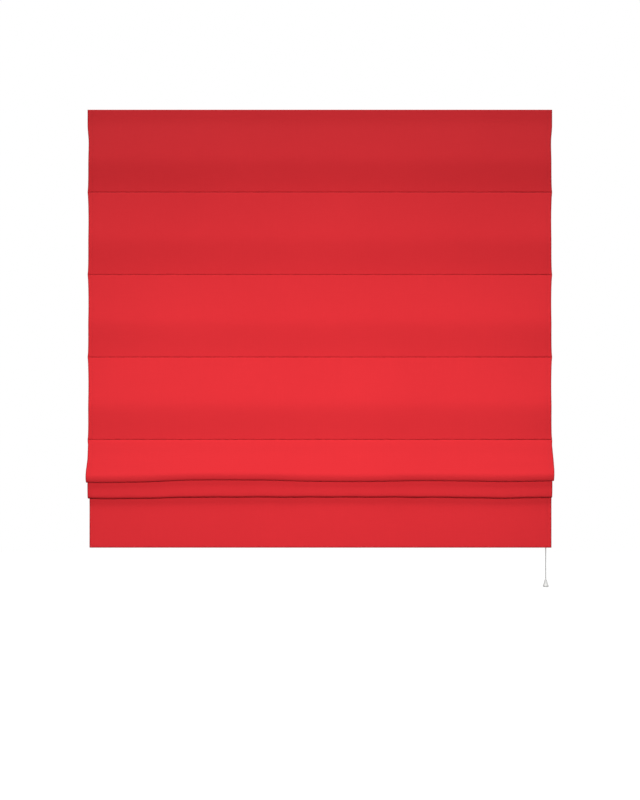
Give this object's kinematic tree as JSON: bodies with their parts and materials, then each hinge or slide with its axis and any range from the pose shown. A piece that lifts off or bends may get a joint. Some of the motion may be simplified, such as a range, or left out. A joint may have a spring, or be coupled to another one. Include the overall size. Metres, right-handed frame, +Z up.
{
  "type": "roman blind",
  "caption": "Cord-operated roman blind in plain cloth, drawn part of the way up, with stitched rods, headrail, brackets, cord lock and pull cord.",
  "frame": {"origin": "on the wall plane, midway between the two wall screw holes of the centre bracket", "axes": "+Z up, +Y into the wall, -Y towards the room, X along the headrail with +X on the pull cord's side"},
  "size_m": [1.3024, 0.0418, 1.3393],
  "materials": {
    "rail_white": "white powder coat, satin",
    "plastic_white": "moulded, light gloss",
    "plastic_clear": "milky moulded",
    "bracket_steel": "zinc plated spring steel",
    "pin_steel": "bright drawn",
    "roller_plastic": "acetal, satin",
    "roller_brass": "knurled",
    "tape_white": "woven hook and loop",
    "cloth_red": "matte plain weave",
    "pocket_red": "woven tape",
    "cord_white": "braided polyester",
    "rod_fibreglass": "pultruded, satin",
    "cap_red": "moulded, matte",
    "bar_aluminium": "mill finish"
  },
  "bodies": {
    "headrail_set": {"headrail": "rail_white", "end_cap_left": "plastic_white", "cord_lock_body": "plastic_white", "lock_guide_pin": "pin_steel", "bracket_left": "bracket_steel", "bracket_centre": "bracket_steel", "bracket_right": "bracket_steel", "hook_tape": "tape_white", "loop_tape": "tape_white", "cord_guide_left": "plastic_white", "cord_guide_centre": "plastic_white", "cord_guide_right": "plastic_white", "guide_pin_left": "pin_steel", "guide_pin_centre": "pin_steel", "guide_pin_right": "pin_steel", "fabric": "cloth_red", "lift_cord_left": "cord_white", "lift_cord_centre": "cord_white", "lift_cord_right": "cord_white"},
    "rod_1_set": {"rod_1": "rod_fibreglass", "rod_pocket_1": "pocket_red", "rod_caps_1": "cap_red", "cord_rings_1": "plastic_clear"},
    "rod_2_set": {"rod_2": "rod_fibreglass", "rod_pocket_2": "pocket_red", "rod_caps_2": "cap_red", "cord_rings_2": "plastic_clear"},
    "rod_3_set": {"rod_3": "rod_fibreglass", "rod_pocket_3": "pocket_red", "rod_caps_3": "cap_red", "cord_rings_3": "plastic_clear"},
    "rod_4_set": {"rod_4": "rod_fibreglass", "rod_pocket_4": "pocket_red", "rod_caps_4": "cap_red", "cord_rings_4": "plastic_clear"},
    "rod_5_set": {"rod_5": "rod_fibreglass", "rod_pocket_5": "pocket_red", "rod_caps_5": "cap_red", "cord_rings_5": "plastic_clear"},
    "rod_6_set": {"rod_6": "rod_fibreglass", "rod_pocket_6": "pocket_red", "rod_caps_6": "cap_red", "cord_rings_6": "plastic_clear", "bottom_bar": "bar_aluminium", "cord_orbs": "plastic_clear"},
    "guide_roller_left_spin": {"guide_roller_left": "roller_plastic"},
    "guide_roller_centre_spin": {"guide_roller_centre": "roller_plastic"},
    "guide_roller_right_spin": {"guide_roller_right": "roller_plastic"},
    "lock_guide_roller_spin": {"lock_guide_roller": "roller_plastic"},
    "pinch_roller_set": {"lock_pinch_roller": "roller_brass"},
    "pull_set": {"cord_connector": "plastic_white", "pull_cord": "cord_white", "cord_bell": "plastic_white", "cord_knot": "cord_white"}
  },
  "joints": [
    {"name": "rod_1_lift", "type": "slide", "parent": "headrail_set", "child": "rod_1_set", "axis": [0, 0, 1], "range_m": [0, 0.177], "deforming": ["fabric", "lift_cord_left", "lift_cord_centre", "lift_cord_right"]},
    {"name": "rod_2_lift", "type": "slide", "parent": "rod_1_set", "child": "rod_2_set", "axis": [0, 0, 1], "range_m": [0, 0.195]},
    {"name": "rod_3_lift", "type": "slide", "parent": "rod_2_set", "child": "rod_3_set", "axis": [0, 0, 1], "range_m": [0, 0.195]},
    {"name": "rod_4_lift", "type": "slide", "parent": "rod_3_set", "child": "rod_4_set", "axis": [0, 0.0333, 0.9994], "range_m": [0, 0.19511]},
    {"name": "rod_5_lift", "type": "slide", "parent": "rod_4_set", "child": "rod_5_set", "axis": [0, 0, 1], "range_m": [-0.195, 0]},
    {"name": "rod_6_lift", "type": "slide", "parent": "rod_5_set", "child": "rod_6_set", "axis": [0, 0, 1], "range_m": [-0.195, 0]},
    {"name": "guide_roller_left_turn", "type": "hinge", "parent": "headrail_set", "child": "guide_roller_left_spin", "pos_m": [-0.4948, -0.017, 0], "axis": [0, 1, 0], "continuous": true},
    {"name": "guide_roller_centre_turn", "type": "hinge", "parent": "headrail_set", "child": "guide_roller_centre_spin", "pos_m": [0.0052, -0.017, 0], "axis": [0, 1, 0], "continuous": true},
    {"name": "guide_roller_right_turn", "type": "hinge", "parent": "headrail_set", "child": "guide_roller_right_spin", "pos_m": [0.5052, -0.017, 0], "axis": [0, 1, 0], "continuous": true},
    {"name": "lock_guide_roller_turn", "type": "hinge", "parent": "headrail_set", "child": "lock_guide_roller_spin", "pos_m": [0.6338, -0.0112, 0], "axis": [0, 1, 0], "continuous": true},
    {"name": "pinch_roller_release", "type": "slide", "parent": "headrail_set", "child": "pinch_roller_set", "axis": [0.3, 0, 0.9539], "range_m": [0, 0.003]},
    {"name": "pull_cord_slide", "type": "slide", "parent": "headrail_set", "child": "pull_set", "axis": [0, 0, 1], "range_m": [-0.762, 0.39]}
  ]
}
